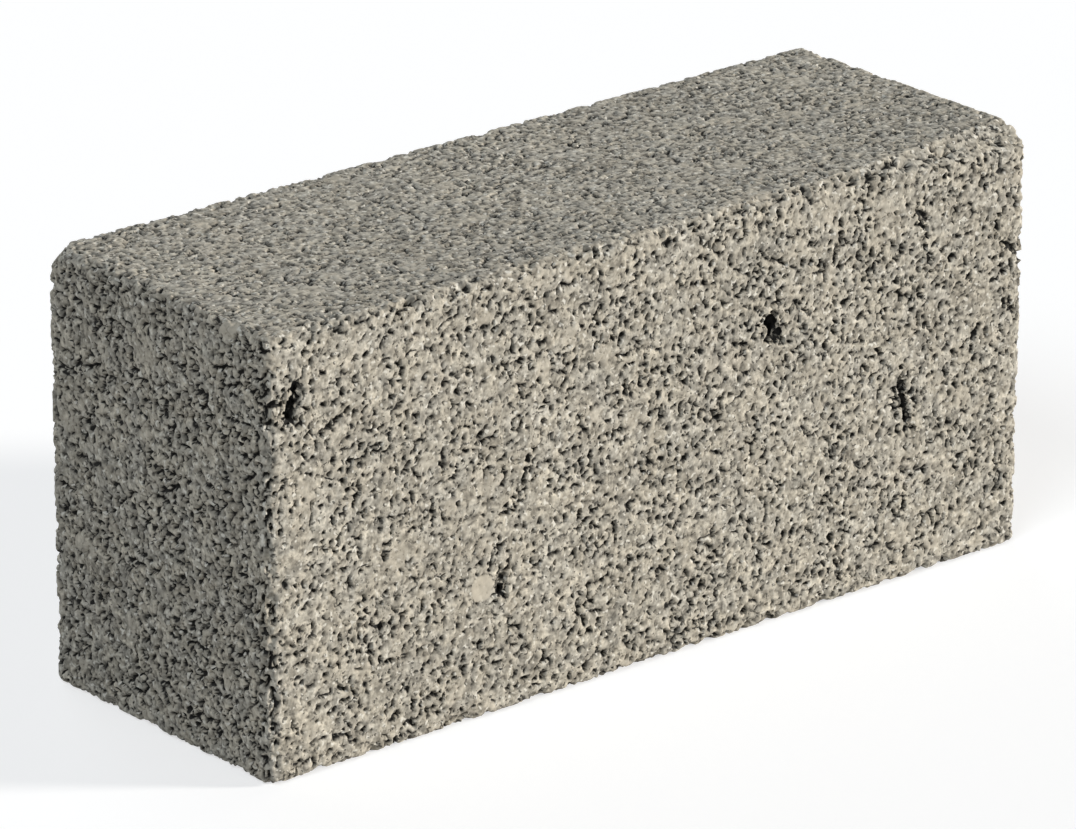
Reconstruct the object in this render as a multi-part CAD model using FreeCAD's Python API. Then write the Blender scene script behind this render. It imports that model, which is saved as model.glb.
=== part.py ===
import FreeCAD, Part
import math
import os

# A solid block of open-textured concrete, moulded in one piece and lying on its bed face.
# Millimetres. The origin is the middle of the bed (bottom) face, +X runs along the length,
# +Y across the width and +Z up. The front is the long face on the -Y side.

# Overall size
LENGTH = 400.0
WIDTH = 140.0
HEIGHT = 185.0

# Rounding of the edges, as the mould and handling leave them
UPRIGHT_EDGE = 5.0
TOP_EDGE = 4.5
BED_EDGE = 3.5

# Corners lost in handling. Each loss is one flat break, given by how far it reaches from the
# sharp corner along the length, across the width and down the height.
CHIP_ALONG = 15.0       # the chip at the -X end of the back, at the top
CHIP_ACROSS = 12.0
CHIP_DOWN = 11.0
WEAR_ALONG = 145.0      # the rubbed front top edge, deepest at the +X end
WEAR_ACROSS = 14.0
WEAR_DOWN = 10.0

# Blow holes in the front face, where the dry mix did not close. Each is a slot with round ends
# and a rounded floor. "end" is the end of the block that "from_end" is measured from: -1 is the
# -X end and +1 the +X end. "lean" turns the top of the slot towards +X, in degrees.
BLOW_HOLES = (
    dict(end=-1, from_end=13.0, above_bed=156.0, wide=6.0, tall=17.0, deep=4.0, lean=25.0),
    dict(end=-1, from_end=116.0, above_bed=55.0, wide=4.5, tall=8.0, deep=5.0, lean=0.0),
    dict(end=1, from_end=141.0, above_bed=129.0, wide=6.0, tall=13.0, deep=6.0, lean=-30.0),
    dict(end=1, from_end=68.0, above_bed=80.0, wide=2.6, tall=23.0, deep=5.0, lean=-9.0),
)
FLOOR_ROUNDING = 0.4    # radius round a blow hole's floor, as a share of that hole's width

CUTTER_STANDS_OUT = 2.0     # how far a cutting shape stands outside the face it cuts


def level_edges(shape, height):
    """The edges of a shape that lie wholly at one height."""
    return [edge for edge in shape.Edges
            if all(math.isclose(vertex.Z, height, abs_tol=1e-6) for vertex in edge.Vertexes)]


def upright_edges(shape):
    """The four edges that stand between the bed face and the top face."""
    return [edge for edge in shape.Edges if edge.BoundBox.ZLength > HEIGHT / 2]


def rounded_block():
    """The block as it leaves the mould. The largest rounding is made first, because a smaller one
    can run on round it."""
    block = Part.makeBox(LENGTH, WIDTH, HEIGHT, FreeCAD.Vector(-LENGTH / 2, -WIDTH / 2, 0.0))
    roundings = [(UPRIGHT_EDGE, upright_edges),
                 (TOP_EDGE, lambda shape: level_edges(shape, HEIGHT)),
                 (BED_EDGE, lambda shape: level_edges(shape, 0.0))]
    roundings.sort(key=lambda rounding: rounding[0], reverse=True)
    for radius, find_edges in roundings:
        block = block.makeFillet(radius, find_edges(block))
    return block


def tetrahedron(points):
    """A closed solid with four corners."""
    faces = []
    for left_out in range(4):
        ring = [point for index, point in enumerate(points) if index != left_out]
        faces.append(Part.Face(Part.makePolygon(ring + ring[:1])))
    solid = Part.Solid(Part.Shell(faces))
    solid.fixTolerance(1e-6)
    return solid if solid.Volume > 0 else solid.reversed()


def corner_break(x_side, y_side, along, across, down):
    """What a flat break takes off a top corner. The sides are -1 or +1."""
    tip = FreeCAD.Vector(x_side * LENGTH / 2, y_side * WIDTH / 2, HEIGHT)
    base = [tip + FreeCAD.Vector(-x_side * along, 0.0, 0.0),
            tip + FreeCAD.Vector(0.0, -y_side * across, 0.0),
            tip + FreeCAD.Vector(0.0, 0.0, -down)]
    middle = (base[0] + base[1] + base[2]) / 3
    wider = [middle + (point - middle) * CUTTER_STANDS_OUT for point in base]
    outside = tip + FreeCAD.Vector(x_side, y_side, 1.0) * CUTTER_STANDS_OUT
    return tetrahedron([outside] + wider)


def blow_hole(end, from_end, above_bed, wide, tall, deep, lean):
    """The hollow of one blow hole in the front face, standing a little outside it."""
    radius = wide / 2
    straight = tall / 2 - radius
    ends = [FreeCAD.Vector(x, 0.0, z) for x, z in
            ((-radius, -straight), (0.0, -straight - radius), (radius, -straight),
             (radius, straight), (0.0, straight + radius), (-radius, straight))]
    outline = Part.Wire([Part.Arc(ends[0], ends[1], ends[2]).toShape(),
                         Part.makeLine(ends[2], ends[3]),
                         Part.Arc(ends[3], ends[4], ends[5]).toShape(),
                         Part.makeLine(ends[5], ends[0])])
    hollow = Part.Face(outline).extrude(FreeCAD.Vector(0.0, CUTTER_STANDS_OUT + deep, 0.0))
    floor = [edge for edge in hollow.Edges if edge.BoundBox.YMin > CUTTER_STANDS_OUT]
    hollow = hollow.makeFillet(FLOOR_ROUNDING * wide, floor)
    hollow.rotate(FreeCAD.Vector(0.0, 0.0, 0.0), FreeCAD.Vector(0.0, 1.0, 0.0), lean)
    x = end * (LENGTH / 2 - from_end)
    hollow.translate(FreeCAD.Vector(x, -WIDTH / 2 - CUTTER_STANDS_OUT, above_bed))
    return hollow


def concrete_block():
    """The whole block: moulded, knocked at two corners, and open at its blow holes."""
    losses = [corner_break(-1, 1, CHIP_ALONG, CHIP_ACROSS, CHIP_DOWN),
              corner_break(1, -1, WEAR_ALONG, WEAR_ACROSS, WEAR_DOWN)]
    losses += [blow_hole(**hole) for hole in BLOW_HOLES]
    return rounded_block().cut(losses)


os.makedirs("parts", exist_ok=True)
block = concrete_block()
block.exportStep("parts/concrete_block.step")
size = block.BoundBox
print("concrete_block:", len(block.Solids), "solid,",
      round(size.XLength, 3), "x", round(size.YLength, 3), "x", round(size.ZLength, 3), "mm,",
      round(block.Volume / 1e6, 4), "litres, valid:", block.isValid())
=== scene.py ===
"""A solid block of open-textured concrete: cement paste, sand, grit and small stones in one casting."""

import math

import bpy
from mathutils import Matrix, Vector


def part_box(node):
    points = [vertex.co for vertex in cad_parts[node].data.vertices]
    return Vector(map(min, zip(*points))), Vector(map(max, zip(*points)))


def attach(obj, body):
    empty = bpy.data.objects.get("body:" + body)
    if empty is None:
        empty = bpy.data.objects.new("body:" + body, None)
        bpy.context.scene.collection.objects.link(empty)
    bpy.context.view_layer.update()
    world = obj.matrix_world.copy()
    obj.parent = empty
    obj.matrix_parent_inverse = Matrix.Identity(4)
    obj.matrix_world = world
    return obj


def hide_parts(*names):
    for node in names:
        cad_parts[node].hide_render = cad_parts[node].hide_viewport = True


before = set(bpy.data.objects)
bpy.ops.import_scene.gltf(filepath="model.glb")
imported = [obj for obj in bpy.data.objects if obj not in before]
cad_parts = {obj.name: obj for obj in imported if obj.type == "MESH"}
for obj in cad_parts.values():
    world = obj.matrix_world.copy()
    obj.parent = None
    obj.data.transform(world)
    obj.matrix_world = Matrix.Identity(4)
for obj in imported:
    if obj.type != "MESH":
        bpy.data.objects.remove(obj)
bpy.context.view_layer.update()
CAD_NODE = "concrete_block"
BLOCK_LOW, BLOCK_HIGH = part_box(CAD_NODE)
BLOCK_MIDDLE = (BLOCK_LOW + BLOCK_HIGH) / 2
BLOCK_SIZE = BLOCK_HIGH - BLOCK_LOW

bl_info = {
    "name": "Concrete block",
    "version": (1, 0, 0),
    "blender": (4, 5, 0),
    "location": "View3D > Sidebar > Concrete",
    "description": "Builds a solid open-textured concrete block and its studio stage",
    "category": "Add Mesh",
}

# The block's sides in the order that nearest_side counts them: name, then the axis that runs along
# the map's long way and the one that runs along its short way
X_AXIS, Y_AXIS, Z_AXIS = (1.0, 0.0, 0.0), (0.0, 1.0, 0.0), (0.0, 0.0, 1.0)
SIDES = (
    ("left_end", Z_AXIS, Y_AXIS),
    ("right_end", Z_AXIS, Y_AXIS),
    ("front_side", X_AXIS, Z_AXIS),
    ("back_side", X_AXIS, Z_AXIS),
    ("bed_side", X_AXIS, Y_AXIS),
    ("top_side", X_AXIS, Y_AXIS),
)


# ---------------------------------------------------------------- sizes and colours

class ConcreteSizes(bpy.types.PropertyGroup):
    """How the mix packs against the mould."""

    mesh_size: bpy.props.FloatProperty(
        name="Mesh size", description="Edge length of the mesh that carries the relief",
        default=0.00088, unit="LENGTH")
    pit_size: bpy.props.FloatProperty(
        name="Pit size", description="Width of the lumps of noise that the pits are cut from",
        default=0.0026, unit="LENGTH")
    pit_depth: bpy.props.FloatProperty(
        name="Pit depth", description="How far the deepest pits go in",
        default=0.0018, unit="LENGTH")
    pit_share: bpy.props.FloatProperty(
        name="Pit share", description="Level of the noise below which there is a pit",
        default=0.372)
    patch_size: bpy.props.FloatProperty(
        name="Patch size", description="Width of the patches that are more open or more closed",
        default=0.013, unit="LENGTH")
    grit_size: bpy.props.FloatProperty(
        name="Grit size", description="Distance between the grains that narrow gaps run round",
        default=0.0065, unit="LENGTH")
    stone_size: bpy.props.FloatProperty(
        name="Stone spacing", description="Distance between the places where a stone may show",
        default=0.0150, unit="LENGTH")
    stone_radius: bpy.props.FloatProperty(
        name="Stone radius", description="Radius of the largest stones",
        default=0.0060, unit="LENGTH")
    lump_size: bpy.props.FloatProperty(
        name="Lump size", description="Width of the gentle rises of the surface",
        default=0.0065, unit="LENGTH")
    lump_height: bpy.props.FloatProperty(
        name="Lump height", description="Height of the gentle rises from lowest to highest",
        default=0.0010, unit="LENGTH")
    sand_size: bpy.props.FloatProperty(
        name="Sand size", description="Width of the coarse sand that shows in the skin",
        default=0.0014, unit="LENGTH")
    sand_height: bpy.props.FloatProperty(
        name="Sand height", description="Height of the coarse sand from lowest to highest",
        default=0.0005, unit="LENGTH")
    skin_fall: bpy.props.FloatProperty(
        name="Skin fall", description="How far the skin sinks between its flats and its pits",
        default=0.0006, unit="LENGTH")
    more_on_ends: bpy.props.FloatProperty(
        name="More on the ends", description="How much the pits' level is higher on the two ends",
        default=0.062)
    edge_reach: bpy.props.FloatProperty(
        name="Edge reach", description="How far from an edge the block has crumbled",
        default=0.009, unit="LENGTH")
    arris_loss: bpy.props.FloatProperty(
        name="Arris loss", description="How far the edges have crumbled at most",
        default=0.0030, unit="LENGTH")


class ConcreteColours(bpy.types.PropertyGroup):
    """The colours of the mix, and the painted shade in its pits."""

    paste: bpy.props.FloatVectorProperty(
        name="Paste", description="Dry cement paste with its fine sand",
        subtype="COLOR", size=3, min=0.0, max=1.0, default=(0.400, 0.366, 0.300))
    pale: bpy.props.FloatVectorProperty(
        name="Pale grains", description="Pale sand that shows as bright specks",
        subtype="COLOR", size=3, min=0.0, max=1.0, default=(0.720, 0.690, 0.610))
    grey: bpy.props.FloatVectorProperty(
        name="Grey patches", description="Paste that has dried cooler and darker",
        subtype="COLOR", size=3, min=0.0, max=1.0, default=(0.350, 0.340, 0.306))
    stone: bpy.props.FloatVectorProperty(
        name="Stones", description="Smooth stones under a film of paste",
        subtype="COLOR", size=3, min=0.0, max=1.0, default=(0.530, 0.480, 0.390))
    # Painted shade: this near-black colour stands in for the shade deep in the pits, the fine pits and the
    # open blow holes.
    hollow: bpy.props.FloatVectorProperty(
        name="Pits", description="The inside of a pit",
        subtype="COLOR", size=3, min=0.0, max=1.0, default=(0.024, 0.023, 0.021))


class StageSettings(bpy.types.PropertyGroup):
    """The camera, the floor and the light."""

    azimuth: bpy.props.FloatProperty(
        name="Azimuth", description="How far round the block the camera stands",
        default=math.radians(-40.35), subtype="ANGLE")
    elevation: bpy.props.FloatProperty(
        name="Elevation", description="How far above the block's middle the camera stands",
        default=math.radians(20.97), subtype="ANGLE")
    roll: bpy.props.FloatProperty(
        name="Roll", description="How far the camera is tilted sideways",
        default=math.radians(0.22), subtype="ANGLE")
    distance: bpy.props.FloatProperty(
        name="Distance", description="From the camera to the block's middle",
        default=2.859, unit="LENGTH")
    sideways: bpy.props.FloatProperty(
        name="Sideways", description="How far the camera is moved to its right",
        default=-0.0042, unit="LENGTH")
    upwards: bpy.props.FloatProperty(
        name="Upwards", description="How far the camera is moved up in its own frame",
        default=-0.0065, unit="LENGTH")
    lens: bpy.props.FloatProperty(
        name="Lens", description="Focal length in millimetres on a 36 mm sensor", default=235.9)
    key_strength: bpy.props.FloatProperty(
        name="Key light", description="Strength of the key light", default=3.9)
    key_colour: bpy.props.FloatVectorProperty(
        name="Key colour", description="Colour of the key light",
        subtype="COLOR", size=3, min=0.0, max=1.0, default=(1.0, 0.96, 0.905))
    key_softness: bpy.props.FloatProperty(
        name="Key softness", description="How wide the key light looks from the block",
        default=math.radians(9.0), subtype="ANGLE")
    sky_strength: bpy.props.FloatProperty(
        name="Soft light", description="Strength of the soft light from above left", default=1.27)
    sky_softness: bpy.props.FloatProperty(
        name="Soft light's width", description="How wide the soft light looks from the block",
        default=math.radians(25.0), subtype="ANGLE")
    back_strength: bpy.props.FloatProperty(
        name="Back light", description="Strength of the light on the far sides", default=0.90)
    back_softness: bpy.props.FloatProperty(
        name="Back light's width", description="How wide the back light looks from the block",
        default=math.radians(40.0), subtype="ANGLE")
    fill_strength: bpy.props.FloatProperty(
        name="Fill light", description="Strength of the light from all round", default=0.07)
    fill_colour: bpy.props.FloatVectorProperty(
        name="Fill colour", description="Colour of the light from all round",
        subtype="COLOR", size=3, min=0.0, max=1.0, default=(0.88, 0.94, 1.0))
    floor_colour: bpy.props.FloatVectorProperty(
        name="Floor", description="Colour of the floor",
        subtype="COLOR", size=3, min=0.0, max=1.0, default=(0.70, 0.70, 0.70))


# Stones that stand out in the skin: where each one's middle is, its radius, and how bare it is
SHOWN_STONES = (
    ((-0.0930, -0.0690, 0.0560), 0.0062, 1.0),
    ((0.0920, -0.0690, 0.1370), 0.0034, 0.6),
    ((-0.1990, -0.0460, 0.1830), 0.0050, 0.9),
    ((-0.1990, 0.0050, 0.1590), 0.0070, 0.5),
    ((-0.1990, 0.0560, 0.1180), 0.0080, 0.5),
)
# Cracks in the front side: the points that each one runs through, as X and Z
FRONT_CRACKS = (
    ((0.184, 0.149), (0.182, 0.140), (0.199, 0.127)),
    ((0.137, 0.163), (0.142, 0.153), (0.145, 0.138)),
    ((0.186, 0.111), (0.194, 0.104)),
    ((0.173, 0.103), (0.170, 0.097), (0.170, 0.088)),
    ((0.131, 0.097), (0.129, 0.088), (0.133, 0.078), (0.137, 0.067)),
    ((0.196, 0.065), (0.187, 0.053)),
)
CRACK_REACH = (0.0007, 0.00175)     # a crack is whole up to the first distance and gone past the second
CRACK_DEPTH = (0.006, 0.008)        # the same, measured in from the front side

# Numbers of the pattern. Lengths are metres; levels are a noise's own values, from 0 to 1
MIDDLE_LEVEL = 0.5
BEND_SIZE = 0.0045                  # how wide the bends are that keep the pattern from running straight
BEND_AMOUNT = 0.0022                # how far they push it
FIELD_ROUGHNESS = 0.55              # how ragged the pits' outlines are
PIT_FROM, PIT_TO = -0.055, 0.010    # a pit runs from full to nothing between these, about its level
FLAT_FROM, FLAT_AT = -0.02, 0.53    # the skin climbs from below the pit's level to this level
LESS_ON_TOP = 0.012                 # how much the pits' level is lower on the top
MORE_IN_CRACK = 0.15                # how much it is higher along a crack
MORE_NEAR_HOLE = dict(low=0.001, high=0.006, to_low=0.08, to_high=0.0)
OPEN_PATCHES = dict(detail=1.0, levels=(0.32, 0.68), values=(-0.06, 0.06))
JOINT_WIDTH = dict(low=0.00015, high=0.00080, to_low=0.80, to_high=0.0, smooth=True)
JOINT_PATCHES = dict(size=0.005, detail=1.0, levels=(0.58, 0.66), values=(0.0, 1.0))
CRUMBLED_PATCHES = dict(size=0.0065, detail=2.0, levels=(0.47, 0.70))
FILLED_PATCHES = dict(size=0.0045, detail=2.0, levels=(0.47, 0.63), values=(0.0, 0.85))
PIT_ON_STONE = 0.2                  # how much of a pit is left on a bare stone
STONE_RISE = 0.7                    # how far a bare stone fills the skin up to its flats
SKIN_ON_TOP = 0.8                   # how much of the skin's fall is left on the top
PIT_ON_TOP = 0.75                   # how much of a pit's depth is left on the top
RECESS = 0.00010                    # how far the whole skin lies back from the mould
CLEARANCE = 0.00003                 # nothing comes nearer than this to the mould's faces
ON_SIDE = (0.0002, 0.0006)          # less deep than the first is on a side, deeper than the second is
                                    # in a hole
FACING = (0.60, 0.95)               # a way leans towards an axis from the first, and faces it at the second
TURNING = (0.995, 0.75)             # a way starts to turn round an edge at the first, and is on it at
                                    # the second
HOLE_SHADE = (0.0005, 0.0020)       # painted shade in a blow hole: none at the first depth, full at the second

STONE_CELLS = 0.7                   # cells whose number is past this hold a stone
GROWTH_FROM = 0.45                  # a stone's radius grows with that number, from this one up to 1
GROWTH_START = 0.35                 # the radius at this one, as a share of the largest
STONE_RIM = 0.0010                  # how far in from its rim a stone is covered
STREWN_BARE = 0.55                  # how bare the strewn stones are

# Numbers of the colours. The values are what the colour is multiplied by or mixed with
CLOUDS = dict(size=0.040, detail=3.0, levels=(0.35, 0.65), values=(0.95, 1.05))
GREY_PATCHES = dict(size=0.0090, detail=2.0, levels=(0.40, 0.65), values=(0.0, 0.45))
MOTTLE = dict(size=0.0030, detail=1.0, levels=(0.26, 0.74), values=(0.54, 1.46))
SPECKLE = dict(low=0.25, high=0.75, to_low=0.76, to_high=1.24)
# Painted shade and a slight painted highlight: the colour is darkened to half where the skin sinks into a
# pit, and lifted a little on its flats
PAINTED_RISE_SHADE = dict(low=0.0, high=1.0, to_low=0.50, to_high=1.08)
PALE_SPECKS = dict(size=0.0025, detail=1.0, levels=(0.61, 0.69), values=(0.0, 0.9))
# Fine pits, too small for the mesh: a bump, and painted shade that mixes in the pits' near-black colour
FINE_PITS_PAINTED_DARK = dict(size=0.0019, detail=1.0, levels=(0.32, 0.37), values=(0.70, 0.0))
PIT_SHADE = (0.05, 0.75)            # a pit's painted shade is none at the first share of its depth, and full at the second
STONE_SHOWS = 0.80                  # how much of a bare stone's own colour shows
ROUGHNESS = 0.92
SPECULAR = 0.25
GRAIN_SIZE = 0.0011
GRAIN_ROUGHNESS = 0.6
GRAIN_HEIGHT = 0.00015
DOT_DEPTH = 0.0003

WELD = 0.000005                     # corners nearer than this are one corner
SMOOTH_ANGLE = math.radians(50)     # edges sharper than this stay crisp
DEEP = 0.0005                       # deeper than this under the faces is inside a blow hole
IN_HOLE = 0.0004                    # deeper than this, the relief follows the hole's own walls
MAP_HALF = 0.5                      # the height of the map's lower half, which holds what shows
MAP_MARGIN = 0.004                  # left free round each half of a side's map

KEY_FROM = Vector((0.80, -0.66, 0.28))      # where the key light stands, seen from the block
SKY_FROM = Vector((-0.62, -0.25, 0.74))     # where the soft second light stands
BACK_FROM = Vector((0.25, 0.90, 0.35))      # where the light for the far sides stands
LAMP_DISTANCE = 3.0                 # how far off the lamps are drawn, which changes nothing in their light
WHITE = (1.0, 1.0, 1.0, 1.0)
FLOOR_RADIUS = 30.0
FLOOR_CORNERS = 96
FLOOR_SHADE = 0.5                   # how pale the floor is under the lamps, as the camera sees it
FLOOR_LIFT = 0.62                   # how much it glows by itself, so that a shadow on it stays faint
SENSOR_WIDTH = 36.0
CLIP_START, CLIP_END = 0.1, 100.0


# ---------------------------------------------------------------- helpers for node trees

def feed(tree, node, inputs):
    """Feeds a node's inputs with values or with other nodes' outputs."""
    for key, value in inputs.items():
        if isinstance(value, bpy.types.NodeSocket):
            tree.links.new(value, node.inputs[key])
        else:
            node.inputs[key].default_value = value


def put(tree, kind, inputs=None, **settings):
    """Adds a node, makes its settings and feeds its inputs."""
    node = tree.nodes.new(kind)
    for name, value in settings.items():
        setattr(node, name, value)
    feed(tree, node, inputs or {})
    return node


def maths(tree, operation, *values):
    """The output of one arithmetic node."""
    return put(tree, "ShaderNodeMath", dict(enumerate(values)), operation=operation).outputs[0]


def vector_maths(tree, operation, *values):
    """The vector output of one vector arithmetic node."""
    return put(tree, "ShaderNodeVectorMath", dict(enumerate(values)), operation=operation).outputs[0]


def vector_number(tree, operation, *values):
    """The number that a vector arithmetic node gives, such as a length or a dot product."""
    return put(tree, "ShaderNodeVectorMath", dict(enumerate(values)),
               operation=operation).outputs["Value"]


def scaled(tree, vector, factor):
    """A vector times a number."""
    return put(tree, "ShaderNodeVectorMath", {0: vector, "Scale": factor},
               operation="SCALE").outputs[0]


def ramp(tree, value, low, high, to_low=0.0, to_high=1.0, smooth=False):
    """A value that runs from to_low to to_high while the input runs from low to high."""
    return put(tree, "ShaderNodeMapRange",
               {0: value, 1: low, 2: high, 3: to_low, 4: to_high}, clamp=True,
               interpolation_type="SMOOTHSTEP" if smooth else "LINEAR").outputs[0]


def noise(tree, position, size, detail=2.0, roughness=0.5, output=0):
    """Noise whose lumps are about this wide, in metres."""
    return put(tree, "ShaderNodeTexNoise",
               {"Vector": position, "Scale": 1.0 / size, "Detail": detail, "Roughness": roughness}
               ).outputs[output]


def patches(tree, position, size, levels, values, detail=2.0):
    """Patches about this wide, in metres: the noise's two levels give the two values."""
    return ramp(tree, noise(tree, position, size, detail), *levels, *values)


def colour_mix(tree, factor, first, second):
    """Two colours mixed."""
    return put(tree, "ShaderNodeMix", {0: factor, 6: first, 7: second},
               data_type="RGBA", clamp_factor=True).outputs[2]


def with_alpha(colour):
    """A colour with full alpha, as a node's colour socket takes it."""
    return (*colour, 1.0)


def new_group(name, kind, inputs=(), outputs=()):
    """An empty node group with named inputs and outputs. Returns the tree, its inputs and its end."""
    tree = bpy.data.node_groups.new(name, kind)
    for label, socket in inputs:
        tree.interface.new_socket(name=label, in_out="INPUT", socket_type=socket)
    for label, socket in outputs:
        tree.interface.new_socket(name=label, in_out="OUTPUT", socket_type=socket)
    return tree, tree.nodes.new("NodeGroupInput").outputs, tree.nodes.new("NodeGroupOutput")


def use_group(tree, group, inputs):
    """Places a node group in a tree."""
    kind = "GeometryNodeGroup" if tree.bl_idname == "GeometryNodeTree" else "ShaderNodeGroup"
    return put(tree, kind, inputs, node_tree=group).outputs


# ---------------------------------------------------------------- the surface's pattern

def voronoi(tree, position, size, feature, output):
    """Cells about this wide, in metres."""
    return put(tree, "ShaderNodeTexVoronoi", {"Vector": position, "Scale": 1.0 / size},
               feature=feature).outputs[output]


def swing(tree, value, height):
    """A noise's value about its middle, times a height."""
    return maths(tree, "MULTIPLY", maths(tree, "SUBTRACT", value, MIDDLE_LEVEL), height)


def warped(tree, position, size, amount):
    """A position pushed about a little, so that a pattern laid over it has no straight lines."""
    push = noise(tree, position, size, detail=1.0, output="Color")
    push = vector_maths(tree, "SUBTRACT", push, (MIDDLE_LEVEL, MIDDLE_LEVEL, MIDDLE_LEVEL))
    return vector_maths(tree, "ADD", position, scaled(tree, push, amount))


def inside_rim(tree, away, radius, bare):
    """How bare a stone is at this distance from its middle: nothing past its rim."""
    past = maths(tree, "SUBTRACT", away, radius)
    return ramp(tree, past, -STONE_RIM, 0.0, bare, 0.0, smooth=True)


def stones_in(tree, position, sizes):
    """How far inside a stone a point is: stones strewn at random, and the few that show most."""
    away = maths(tree, "MULTIPLY", voronoi(tree, position, sizes.stone_size, "F1", "Distance"),
                 sizes.stone_size)
    cell = put(tree, "ShaderNodeSeparateXYZ",
               {0: voronoi(tree, position, sizes.stone_size, "F1", "Color")}).outputs[0]
    radius = ramp(tree, cell, GROWTH_FROM, 1.0, GROWTH_START * sizes.stone_radius, sizes.stone_radius)
    there = maths(tree, "MULTIPLY", maths(tree, "GREATER_THAN", cell, STONE_CELLS), STREWN_BARE)
    inside = maths(tree, "MULTIPLY", inside_rim(tree, away, radius, 1.0), there)
    for middle, size, bare in SHOWN_STONES:
        away = vector_number(tree, "DISTANCE", position, middle)
        inside = maths(tree, "MAXIMUM", inside, inside_rim(tree, away, size, bare))
    return inside


def away_from_line(tree, position, start, end):
    """The distance from a line between two points."""
    run = end - start
    from_start = vector_maths(tree, "SUBTRACT", position, tuple(start))
    along = vector_number(tree, "DOT_PRODUCT", from_start, tuple(run / run.length_squared))
    along = ramp(tree, along, 0.0, 1.0)
    away = vector_maths(tree, "SUBTRACT", from_start, scaled(tree, tuple(run), along))
    return vector_number(tree, "LENGTH", away)


def cracks_in(tree, position):
    """How near a point is to one of the front side's cracks: 1 on the crack, 0 away from it."""
    across = put(tree, "ShaderNodeSeparateXYZ", {0: position}).outputs
    shallow, deep = CRACK_DEPTH
    behind = ramp(tree, across[1], BLOCK_LOW.y + shallow, BLOCK_LOW.y + deep)
    flat = put(tree, "ShaderNodeCombineXYZ", {0: across[0], 1: behind, 2: across[2]}).outputs[0]
    nearest = 1.0
    for crack in FRONT_CRACKS:
        points = [Vector((x, 0.0, z)) for x, z in crack]
        for start, end in zip(points, points[1:]):
            nearest = maths(tree, "MINIMUM", nearest, away_from_line(tree, flat, start, end))
    return ramp(tree, nearest, *CRACK_REACH, 1.0, 0.0, smooth=True)


def away_from_core(tree, place, reach):
    """The way a place looks from a core that lies this deep in the block: square off each side, and
    turning gently round each edge."""
    inset = Vector((reach, reach, reach))
    core = vector_maths(tree, "MAXIMUM", place, tuple(BLOCK_LOW + inset))
    core = vector_maths(tree, "MINIMUM", core, tuple(BLOCK_HIGH - inset))
    return vector_maths(tree, "NORMALIZE", vector_maths(tree, "SUBTRACT", place, core))


def pit_level(tree, place, bent, facing, near_hole, sizes):
    """The level of the noise below which there is a pit."""
    ends, top = facing
    level = patches(tree, place, sizes.patch_size, **OPEN_PATCHES)
    level = maths(tree, "ADD", level, sizes.pit_share)
    level = maths(tree, "ADD", level, maths(tree, "MULTIPLY", ends, sizes.more_on_ends))
    level = maths(tree, "SUBTRACT", level, maths(tree, "MULTIPLY", top, LESS_ON_TOP))
    level = maths(tree, "ADD", level, ramp(tree, near_hole, **MORE_NEAR_HOLE))
    return maths(tree, "ADD", level, maths(tree, "MULTIPLY", cracks_in(tree, bent), MORE_IN_CRACK))


def joints_between_grains(tree, place, bent, sizes):
    """Narrow gaps round the grit, in a few patches."""
    gap = maths(tree, "MULTIPLY", voronoi(tree, bent, sizes.grit_size, "DISTANCE_TO_EDGE", "Distance"),
                sizes.grit_size)
    return maths(tree, "MULTIPLY", ramp(tree, gap, **JOINT_WIDTH), patches(tree, place, **JOINT_PATCHES))


def relief_height(tree, place, bent, top, arris, found, sizes):
    """How high the skin stands, zero being the mould's face: its lumps and its sand, less its pits
    and what has crumbled off its edges."""
    lumps = swing(tree, noise(tree, bent, sizes.lump_size, detail=1.0), sizes.lump_height)
    fall = ramp(tree, top, 0.0, 1.0, sizes.skin_fall, SKIN_ON_TOP * sizes.skin_fall)
    skin = maths(tree, "MULTIPLY", ramp(tree, found["Rise"], 0.0, 1.0, -1.0, 0.0), fall)
    loose = maths(tree, "SUBTRACT", 1.0, found["Stone"])
    grains = maths(tree, "MULTIPLY", swing(tree, found["Sand"], sizes.sand_height), loose)
    depth = ramp(tree, top, 0.0, 1.0, sizes.pit_depth, PIT_ON_TOP * sizes.pit_depth)
    crumbled = patches(tree, place, values=(0.0, sizes.arris_loss), **CRUMBLED_PATCHES)
    height = maths(tree, "SUBTRACT", maths(tree, "ADD", lumps, skin), RECESS)
    height = maths(tree, "ADD", height, grains)
    height = maths(tree, "SUBTRACT", height, maths(tree, "MULTIPLY", found["Pit"], depth))
    height = maths(tree, "SUBTRACT", height, maths(tree, "MULTIPLY", crumbled, arris))
    return maths(tree, "MINIMUM", height, -CLEARANCE)


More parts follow.
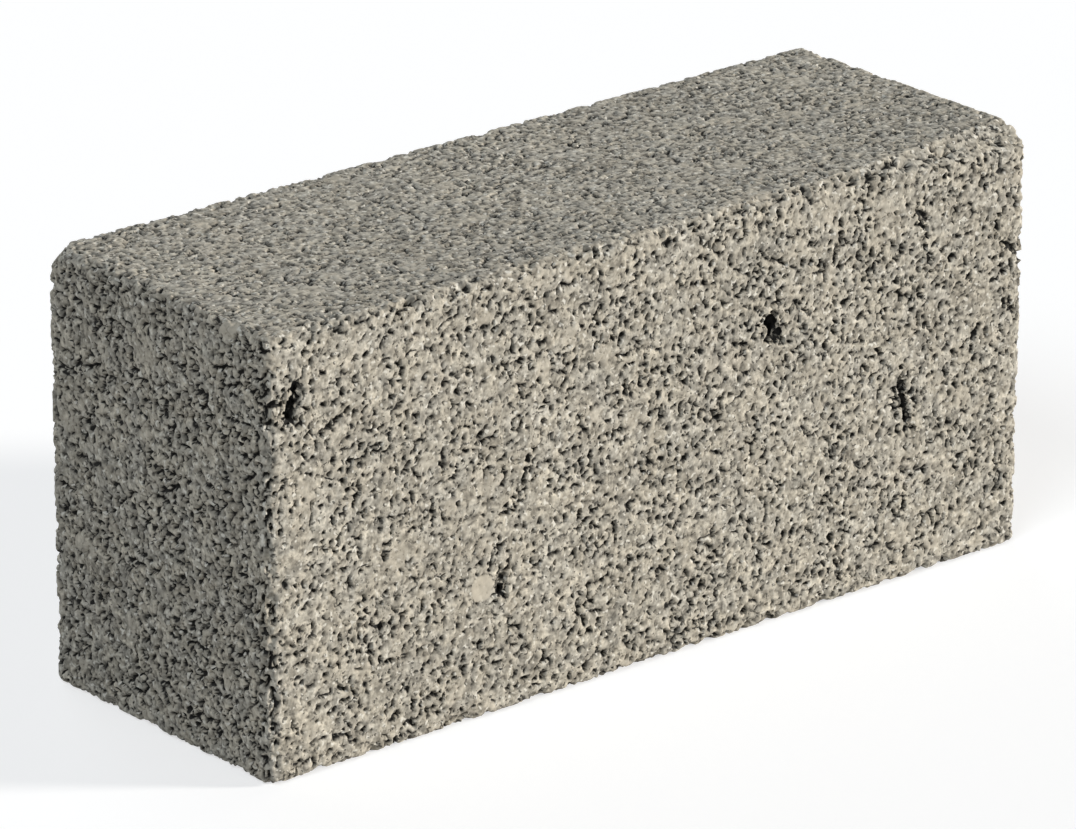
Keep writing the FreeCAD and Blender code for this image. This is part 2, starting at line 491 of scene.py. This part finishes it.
def texture_group(kind, sizes):
    """The open texture: how high the surface stands at a place, zero being the mould's face, and where
    its pits, its bright grains and its stones are. The relief and the colours are both made from it,
    so they agree."""
    name = "open_texture_" + ("relief" if kind == "GeometryNodeTree" else "colour")
    tree, given, end = new_group(
        name, kind, [("Place", "NodeSocketVector"), ("Hollow", "NodeSocketFloat"),
                     ("Near hole", "NodeSocketFloat")],
        [("Height", "NodeSocketFloat"), ("Way", "NodeSocketVector"), ("Pit", "NodeSocketFloat"),
         ("Rise", "NodeSocketFloat"), ("Stone", "NodeSocketFloat"), ("Sand", "NodeSocketFloat")])
    place, hollow = given["Place"], given["Hollow"]
    way = away_from_core(tree, place, sizes.edge_reach)
    parts = put(tree, "ShaderNodeSeparateXYZ", {0: vector_maths(tree, "ABSOLUTE", way)}).outputs
    straight = maths(tree, "MAXIMUM", parts[0], maths(tree, "MAXIMUM", parts[1], parts[2]))
    on_side = ramp(tree, hollow, *ON_SIDE, 1.0, 0.0)
    arris = maths(tree, "MULTIPLY", ramp(tree, straight, *TURNING), on_side)
    top = ramp(tree, put(tree, "ShaderNodeSeparateXYZ", {0: way}).outputs[2], *FACING)
    ends = ramp(tree, parts[0], *FACING)

    bent = warped(tree, place, BEND_SIZE, BEND_AMOUNT)
    level = pit_level(tree, place, bent, (ends, top), given["Near hole"], sizes)
    field = noise(tree, bent, sizes.pit_size, detail=1.0, roughness=FIELD_ROUGHNESS)
    pit = ramp(tree, field, maths(tree, "ADD", level, PIT_FROM), maths(tree, "ADD", level, PIT_TO),
               1.0, 0.0, smooth=True)
    rise = ramp(tree, field, maths(tree, "ADD", level, FLAT_FROM), FLAT_AT, smooth=True)
    sand = noise(tree, bent, sizes.sand_size, detail=1.0)
    inside = stones_in(tree, bent, sizes)
    pit = maths(tree, "MAXIMUM", pit, joints_between_grains(tree, place, bent, sizes))
    pit = maths(tree, "MULTIPLY", pit, ramp(tree, inside, 0.0, 1.0, 1.0, PIT_ON_STONE))
    rise = maths(tree, "MAXIMUM", rise, maths(tree, "MULTIPLY", inside, STONE_RISE))
    found = {"Way": way, "Pit": pit, "Rise": rise, "Stone": inside, "Sand": sand}
    height = relief_height(tree, place, bent, top, arris, found, sizes)

    filled = maths(tree, "MULTIPLY", patches(tree, place, **FILLED_PATCHES), hollow)
    still_open = maths(tree, "SUBTRACT", hollow, filled)
    # Still-open blow holes add painted shade to the pits' mask, darker as they go deeper; only the colours
    # read this mask
    found["Pit"] = maths(tree, "MAXIMUM", pit, ramp(tree, still_open, *HOLE_SHADE))
    found["Height"] = maths(tree, "ADD", height, filled)
    for label, value in found.items():
        tree.links.new(value, end.inputs[label])
    return tree


# ---------------------------------------------------------------- geometry trees

def named(tree, name, kind="FLOAT"):
    """An attribute's value."""
    return put(tree, "GeometryNodeInputNamedAttribute", {"Name": name}, data_type=kind).outputs[0]


def stored(tree, geometry, name, value, kind="FLOAT", domain="POINT"):
    """The geometry with a value stored on it as an attribute."""
    return put(tree, "GeometryNodeStoreNamedAttribute",
               {"Geometry": geometry, "Name": name, "Value": value},
               data_type=kind, domain=domain).outputs[0]


def nearest_side(tree, position):
    """The number of the block's side that a point is nearest to: its place in SIDES."""
    from_middle = vector_maths(tree, "SUBTRACT", position, tuple(BLOCK_MIDDLE))
    outward = vector_maths(tree, "ABSOLUTE", from_middle)
    inward = vector_maths(tree, "SUBTRACT", tuple(BLOCK_SIZE / 2), outward)
    deep = put(tree, "ShaderNodeSeparateXYZ", {0: inward}).outputs
    way = put(tree, "ShaderNodeSeparateXYZ", {0: from_middle}).outputs
    x_first = maths(tree, "LESS_THAN", deep[0], maths(tree, "MINIMUM", deep[1], deep[2]))
    y_first = maths(tree, "MULTIPLY", maths(tree, "LESS_THAN", deep[1], deep[2]),
                    maths(tree, "SUBTRACT", 1.0, x_first))
    z_first = maths(tree, "SUBTRACT", maths(tree, "SUBTRACT", 1.0, x_first), y_first)
    number = 0.0
    for axis, first in enumerate((x_first, y_first, z_first)):
        of_axis = maths(tree, "ADD", maths(tree, "GREATER_THAN", way[axis], 0.0), 2.0 * axis)
        number = maths(tree, "ADD", maths(tree, "MULTIPLY", first, of_axis), number)
    return number


def casting_tree():
    """Geometry nodes that note, all over the smooth casting, each point's place, the way it looks and
    which side each face belongs to."""
    tree, given, end = new_group("casting", "GeometryNodeTree",
                                 [("Casting", "NodeSocketGeometry")], [("Casting", "NodeSocketGeometry")])
    position = tree.nodes.new("GeometryNodeInputPosition").outputs[0]
    normal = tree.nodes.new("GeometryNodeInputNormal").outputs[0]
    mesh = stored(tree, given["Casting"], "place", position, kind="FLOAT_VECTOR")
    mesh = stored(tree, mesh, "outward", normal, kind="FLOAT_VECTOR")
    hull = put(tree, "GeometryNodeConvexHull", {0: given["Casting"]}).outputs[0]
    hollow = put(tree, "GeometryNodeProximity", {0: hull}, target_element="FACES").outputs["Distance"]
    mesh = stored(tree, mesh, "hollow", hollow)
    hole = put(tree, "GeometryNodeDeleteGeometry",
               {0: mesh, "Selection": maths(tree, "LESS_THAN", hollow, DEEP)}).outputs[0]
    near = put(tree, "GeometryNodeProximity", {0: hole}, target_element="POINTS").outputs["Distance"]
    mesh = stored(tree, mesh, "near_hole", near)
    mesh = stored(tree, mesh, "side", nearest_side(tree, position), kind="INT", domain="FACE")
    tree.links.new(mesh, end.inputs[0])
    return tree


def held_in_mould(tree, geometry, margin):
    """The geometry kept this far inside the mould's faces."""
    position = tree.nodes.new("GeometryNodeInputPosition").outputs[0]
    inset = Vector((margin, margin, margin))
    held = vector_maths(tree, "MAXIMUM", position, tuple(BLOCK_LOW + inset))
    held = vector_maths(tree, "MINIMUM", held, tuple(BLOCK_HIGH - inset))
    return put(tree, "GeometryNodeSetPosition", {"Geometry": geometry, "Position": held}).outputs[0]


def closed_to_middle(tree, geometry):
    """One side's surface, closed from its border to the block's middle, where all six sides meet."""
    faces = put(tree, "GeometryNodeInputMeshEdgeNeighbors").outputs[0]
    border = maths(tree, "LESS_THAN", faces, 2.0)
    walls = put(tree, "GeometryNodeExtrudeMesh",
                {"Mesh": geometry, "Selection": border, "Offset Scale": 0.0}, mode="EDGES").outputs
    mesh = stored(tree, walls["Mesh"], "hidden", walls["Side"], kind="BOOLEAN", domain="FACE")
    mesh = put(tree, "GeometryNodeSetPosition",
               {"Geometry": mesh, "Selection": walls["Top"], "Position": tuple(BLOCK_MIDDLE)}).outputs[0]
    return put(tree, "GeometryNodeMergeByDistance",
               {"Geometry": mesh, "Selection": walls["Top"], "Distance": WELD}).outputs[0]


def mapped(tree, geometry, across, along):
    """The geometry with a map: its outside in the lower half, and its hidden walls in the upper half."""
    hidden = named(tree, "hidden", "BOOLEAN")
    position = tree.nodes.new("GeometryNodeInputPosition").outputs[0]
    place = put(tree, "GeometryNodeSwitch",
                {"Switch": hidden, "False": named(tree, "place", "FLOAT_VECTOR"), "True": position},
                input_type="VECTOR").outputs[0]
    share = vector_maths(tree, "DIVIDE", vector_maths(tree, "SUBTRACT", place, tuple(BLOCK_LOW)),
                         tuple(BLOCK_SIZE))
    u = vector_number(tree, "DOT_PRODUCT", share, across)
    u = ramp(tree, u, 0.0, 1.0, MAP_MARGIN, 1.0 - MAP_MARGIN)
    v = vector_number(tree, "DOT_PRODUCT", share, along)
    v = ramp(tree, v, 0.0, 1.0, MAP_MARGIN, MAP_HALF - MAP_MARGIN)
    v = maths(tree, "ADD", v, maths(tree, "MULTIPLY", hidden, MAP_HALF))
    uv = put(tree, "ShaderNodeCombineXYZ", {0: u, 1: v}).outputs[0]
    return stored(tree, geometry, "OFBake", uv, kind="FLOAT2", domain="CORNER")


def side_tree(texture):
    """Geometry nodes that take one side of the casting, give it its relief and close it."""
    tree, given, end = new_group(
        "side", "GeometryNodeTree",
        [("Casting", "NodeSocketGeometry"), ("Side", "NodeSocketInt"), ("Across", "NodeSocketVector"),
         ("Along", "NodeSocketVector"), ("Material", "NodeSocketMaterial")],
        [("Side", "NodeSocketGeometry")])
    mine = put(tree, "FunctionNodeCompare", {2: named(tree, "side", "INT"), 3: given["Side"]},
               data_type="INT", operation="EQUAL").outputs[0]
    mesh = put(tree, "GeometryNodeSeparateGeometry", {0: given["Casting"], "Selection": mine},
               domain="FACE").outputs["Selection"]
    hollow = named(tree, "hollow")
    found = use_group(tree, texture, {"Place": named(tree, "place", "FLOAT_VECTOR"), "Hollow": hollow,
                                      "Near hole": named(tree, "near_hole")})
    in_hollow = maths(tree, "GREATER_THAN", hollow, IN_HOLE)
    way = put(tree, "GeometryNodeSwitch",
              {"Switch": in_hollow, "False": found["Way"], "True": named(tree, "outward", "FLOAT_VECTOR")},
              input_type="VECTOR").outputs[0]
    mesh = put(tree, "GeometryNodeSetPosition",
               {"Geometry": mesh, "Offset": scaled(tree, way, found["Height"])}).outputs[0]
    mesh = held_in_mould(tree, mesh, CLEARANCE)
    mesh = closed_to_middle(tree, mesh)
    mesh = mapped(tree, mesh, given["Across"], given["Along"])
    mesh = put(tree, "GeometryNodeSetShadeSmooth", {"Geometry": mesh, "Shade Smooth": True}).outputs[0]
    mesh = put(tree, "GeometryNodeSetMaterial", {"Geometry": mesh, "Material": given["Material"]}).outputs[0]
    tree.links.new(mesh, end.inputs[0])
    return tree


# ---------------------------------------------------------------- material

def attribute(tree, name, output):
    """An attribute of the piece, read in its material."""
    return put(tree, "ShaderNodeAttribute", attribute_name=name).outputs[output]


def dimmed(tree, colour, shade):
    """A colour times a number."""
    return vector_maths(tree, "MULTIPLY", colour,
                        put(tree, "ShaderNodeCombineXYZ", {0: shade, 1: shade, 2: shade}).outputs[0])


def concrete_material(sizes, colours):
    """Dry, rough concrete: paste, sand and stones, with painted shade in the pits where the relief has them.
    """
    material = bpy.data.materials.new("open_textured_concrete")
    material.use_nodes = True
    tree = material.node_tree
    place = attribute(tree, "place", "Vector")
    hollow = attribute(tree, "hollow", "Fac")
    found = use_group(tree, texture_group("ShaderNodeTree", sizes),
                      {"Place": place, "Hollow": hollow,
                       "Near hole": attribute(tree, "near_hole", "Fac")})
    loose = maths(tree, "SUBTRACT", 1.0, found["Stone"])
    clouds = patches(tree, place, **CLOUDS)
    tint = patches(tree, place, **GREY_PATCHES)
    colour = colour_mix(tree, tint, with_alpha(colours.paste), with_alpha(colours.grey))
    mottle = patches(tree, place, **MOTTLE)
    speckle = ramp(tree, found["Sand"], **SPECKLE)
    # Painted shade towards the pits, and a slight painted highlight on the flats
    painted_rise_shade = ramp(tree, found["Rise"], **PAINTED_RISE_SHADE)
    shade = maths(tree, "MULTIPLY", clouds, maths(tree, "MULTIPLY", mottle, speckle))
    colour = dimmed(tree, colour, maths(tree, "MULTIPLY", shade, painted_rise_shade))
    colour = colour_mix(tree, patches(tree, place, **PALE_SPECKS), colour, with_alpha(colours.pale))
    # Painted shade in the fine pits
    fine_pits = patches(tree, place, **FINE_PITS_PAINTED_DARK)
    colour = colour_mix(tree, fine_pits, colour, with_alpha(colours.hollow))
    colour = colour_mix(tree, maths(tree, "MULTIPLY", found["Stone"], STONE_SHOWS), colour,
                        with_alpha(colours.stone))
    # Painted shade in the pits and the open blow holes, near black where they are deepest
    dark = ramp(tree, found["Pit"], *PIT_SHADE)
    colour = colour_mix(tree, dark, colour, with_alpha(colours.hollow))

    shader = tree.nodes["Principled BSDF"]
    grain = noise(tree, place, GRAIN_SIZE, roughness=GRAIN_ROUGHNESS)
    grain = maths(tree, "MULTIPLY", grain, GRAIN_HEIGHT)
    grain = maths(tree, "SUBTRACT", grain, maths(tree, "MULTIPLY", fine_pits, DOT_DEPTH))
    bump = put(tree, "ShaderNodeBump", {"Height": maths(tree, "MULTIPLY", grain, loose),
                                        "Strength": 1.0, "Distance": 1.0})
    feed(tree, shader, {"Base Color": colour, "Normal": bump.outputs[0],
                        "Roughness": ROUGHNESS, "Specular IOR Level": SPECULAR})
    return material


# ---------------------------------------------------------------- modelling helpers

def select_only(thing):
    """Deselects everything but this object, and makes it the active one."""
    bpy.ops.object.select_all(action="DESELECT")
    thing.select_set(True)
    bpy.context.view_layer.objects.active = thing


def block_surface(name):
    """A welded copy of the block's own surface, as a new object at the origin."""
    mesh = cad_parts[CAD_NODE].data.copy()
    mesh.name = name
    mesh.materials.clear()
    surface = bpy.data.objects.new(name, mesh)
    bpy.context.scene.collection.objects.link(surface)
    select_only(surface)
    bpy.ops.object.mode_set(mode="EDIT")
    bpy.ops.mesh.select_all(action="SELECT")
    bpy.ops.mesh.remove_doubles(threshold=WELD)
    bpy.ops.object.mode_set(mode="OBJECT")
    return surface


def apply_nodes(piece, tree, values):
    """Runs a geometry node tree on a piece and keeps what it makes."""
    modifier = piece.modifiers.new(tree.name, "NODES")
    modifier.node_group = tree
    for item in tree.interface.items_tree:
        if item.in_out == "INPUT" and item.name in values:
            modifier[item.identifier] = values[item.name]
    select_only(piece)
    bpy.ops.object.modifier_apply(modifier=modifier.name)


# ---------------------------------------------------------------- operators

class CONCRETE_OT_sides(bpy.types.Operator):
    """Builds the casting's six sides, each with its own relief"""

    bl_idname = "concrete.sides"
    bl_label = "Sides of the casting"

    def execute(self, context):
        sizes = context.scene.concrete_sizes
        casting = block_surface("casting")
        remesh = casting.modifiers.new("even_mesh", "REMESH")
        remesh.mode = "VOXEL"
        remesh.voxel_size = sizes.mesh_size
        bpy.ops.object.modifier_apply(modifier=remesh.name)
        apply_nodes(casting, casting_tree(), {})
        tree = side_tree(texture_group("GeometryNodeTree", sizes))
        material = concrete_material(sizes, context.scene.concrete_colours)
        for number, (name, across, along) in enumerate(SIDES):
            side = bpy.data.objects.new(name, casting.data.copy())
            bpy.context.scene.collection.objects.link(side)
            apply_nodes(side, tree, {"Side": number, "Across": across, "Along": along, "Material": material})
            select_only(side)
            bpy.ops.object.shade_smooth_by_angle(angle=SMOOTH_ANGLE)
            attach(side, "root")
            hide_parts(CAD_NODE)
        bpy.data.objects.remove(casting)
        return {"FINISHED"}


class CONCRETE_OT_stage(bpy.types.Operator):
    """Sets the floor, the light and the camera"""

    bl_idname = "concrete.stage"
    bl_label = "Stage"

    def execute(self, context):
        stage = context.scene.concrete_stage
        lay_floor(stage)
        light_stage(stage)
        place_camera(stage)
        context.scene.view_settings.view_transform = "Standard"
        return {"FINISHED"}


def looked_at(tree):
    """1 for rays from the camera and in mirrors, 0 for the rays that only carry light."""
    rays = tree.nodes.new("ShaderNodeLightPath").outputs
    return maths(tree, "MAXIMUM", rays["Is Camera Ray"], rays["Is Glossy Ray"])


def lay_floor(stage):
    """A wide pale floor. The camera sees it as white where nothing shades it."""
    bpy.ops.object.select_all(action="DESELECT")
    bpy.ops.mesh.primitive_circle_add(vertices=FLOOR_CORNERS, radius=FLOOR_RADIUS, fill_type="NGON",
                                      location=(0.0, 0.0, BLOCK_LOW.z))
    floor = bpy.context.view_layer.objects.active
    floor.name = "floor"
    material = bpy.data.materials.new("floor")
    material.use_nodes = True
    tree = material.node_tree
    tree.nodes.clear()
    seen = looked_at(tree)
    plain = put(tree, "ShaderNodeBsdfDiffuse", {"Color": with_alpha(stage.floor_colour)})
    shown = put(tree, "ShaderNodeBsdfDiffuse", {"Color": (FLOOR_SHADE, FLOOR_SHADE, FLOOR_SHADE, 1.0)})
    lift = put(tree, "ShaderNodeEmission", {"Color": WHITE, "Strength": FLOOR_LIFT})
    white = put(tree, "ShaderNodeAddShader", {0: shown.outputs[0], 1: lift.outputs[0]})
    choice = put(tree, "ShaderNodeMixShader", {0: seen, 1: plain.outputs[0], 2: white.outputs[0]})
    put(tree, "ShaderNodeOutputMaterial", {"Surface": choice.outputs[0]})
    floor.data.materials.append(material)


def add_sun(name, stands, strength, colour, softness):
    """A lamp whose rays run side by side, spread as wide as softness says."""
    bpy.ops.object.select_all(action="DESELECT")
    bpy.ops.object.light_add(type="SUN", location=BLOCK_MIDDLE + stands * LAMP_DISTANCE)
    lamp = bpy.context.view_layer.objects.active
    lamp.name = name
    lamp.data.energy = strength
    lamp.data.color = colour
    lamp.data.angle = softness
    lamp.rotation_mode = "QUATERNION"
    lamp.rotation_quaternion = stands.to_track_quat("Z", "Y")


def light_stage(stage):
    """A key light from the front right, a soft light from above left, a weaker one from behind, and
    an even light all round."""
    add_sun("key_light", KEY_FROM, stage.key_strength, stage.key_colour, stage.key_softness)
    add_sun("soft_light", SKY_FROM, stage.sky_strength, stage.fill_colour, stage.sky_softness)
    add_sun("back_light", BACK_FROM, stage.back_strength, stage.fill_colour, stage.back_softness)
    world = bpy.data.worlds.new("studio")
    bpy.context.scene.world = world
    world.use_nodes = True
    tree = world.node_tree
    tree.nodes.clear()
    seen = looked_at(tree)
    fill = put(tree, "ShaderNodeBackground",
               {"Color": with_alpha(stage.fill_colour), "Strength": stage.fill_strength})
    white = put(tree, "ShaderNodeBackground", {"Color": WHITE, "Strength": 1.0})
    choice = put(tree, "ShaderNodeMixShader", {0: seen, 1: fill.outputs[0], 2: white.outputs[0]})
    put(tree, "ShaderNodeOutputWorld", {"Surface": choice.outputs[0]})


def place_camera(stage):
    """A long lens, looking at the block's middle from the front left and above."""
    side, rise, roll = stage.azimuth, stage.elevation, stage.roll
    back = Vector((math.sin(side) * math.cos(rise), -math.cos(side) * math.cos(rise), math.sin(rise)))
    level_right = Vector((0.0, 0.0, 1.0)).cross(back).normalized()
    level_up = back.cross(level_right)
    right = level_right * math.cos(roll) + level_up * math.sin(roll)
    up = level_up * math.cos(roll) - level_right * math.sin(roll)
    place = BLOCK_MIDDLE + back * stage.distance + right * stage.sideways + up * stage.upwards
    bpy.ops.object.select_all(action="DESELECT")
    bpy.ops.object.camera_add(location=place)
    camera = bpy.context.view_layer.objects.active
    camera.name = "camera"
    camera.data.lens = stage.lens
    camera.data.sensor_width = SENSOR_WIDTH
    camera.data.clip_start = CLIP_START
    camera.data.clip_end = CLIP_END
    camera.rotation_mode = "QUATERNION"
    camera.rotation_quaternion = Matrix((right, up, back)).transposed().to_quaternion()
    bpy.context.scene.camera = camera


class CONCRETE_PT_panel(bpy.types.Panel):
    """Lists the sizes, the colours and what builds the block"""

    bl_idname = "CONCRETE_PT_panel"
    bl_label = "Concrete block"
    bl_space_type = "VIEW_3D"
    bl_region_type = "UI"
    bl_category = "Concrete"

    def draw(self, context):
        for group in (context.scene.concrete_sizes, context.scene.concrete_colours,
                      context.scene.concrete_stage):
            for name in group.__annotations__:
                self.layout.prop(group, name)
        for operator in OPERATORS:
            self.layout.operator(operator.bl_idname)


GROUPS = {"concrete_sizes": ConcreteSizes, "concrete_colours": ConcreteColours,
          "concrete_stage": StageSettings}
OPERATORS = (CONCRETE_OT_sides, CONCRETE_OT_stage)


def register():
    """Adds the settings, the operators and the panel to Blender."""
    for kind in (*GROUPS.values(), *OPERATORS, CONCRETE_PT_panel):
        bpy.utils.register_class(kind)
    for name, kind in GROUPS.items():
        setattr(bpy.types.Scene, name, bpy.props.PointerProperty(type=kind))


def unregister():
    """Takes them out again."""
    for name in GROUPS:
        delattr(bpy.types.Scene, name)
    for kind in (CONCRETE_PT_panel, *reversed(OPERATORS), *reversed(tuple(GROUPS.values()))):
        bpy.utils.unregister_class(kind)


def main():
    """Builds the block and its stage."""
    register()
    bpy.ops.concrete.sides()
    bpy.ops.concrete.stage()


if __name__ == "__main__":
    main()
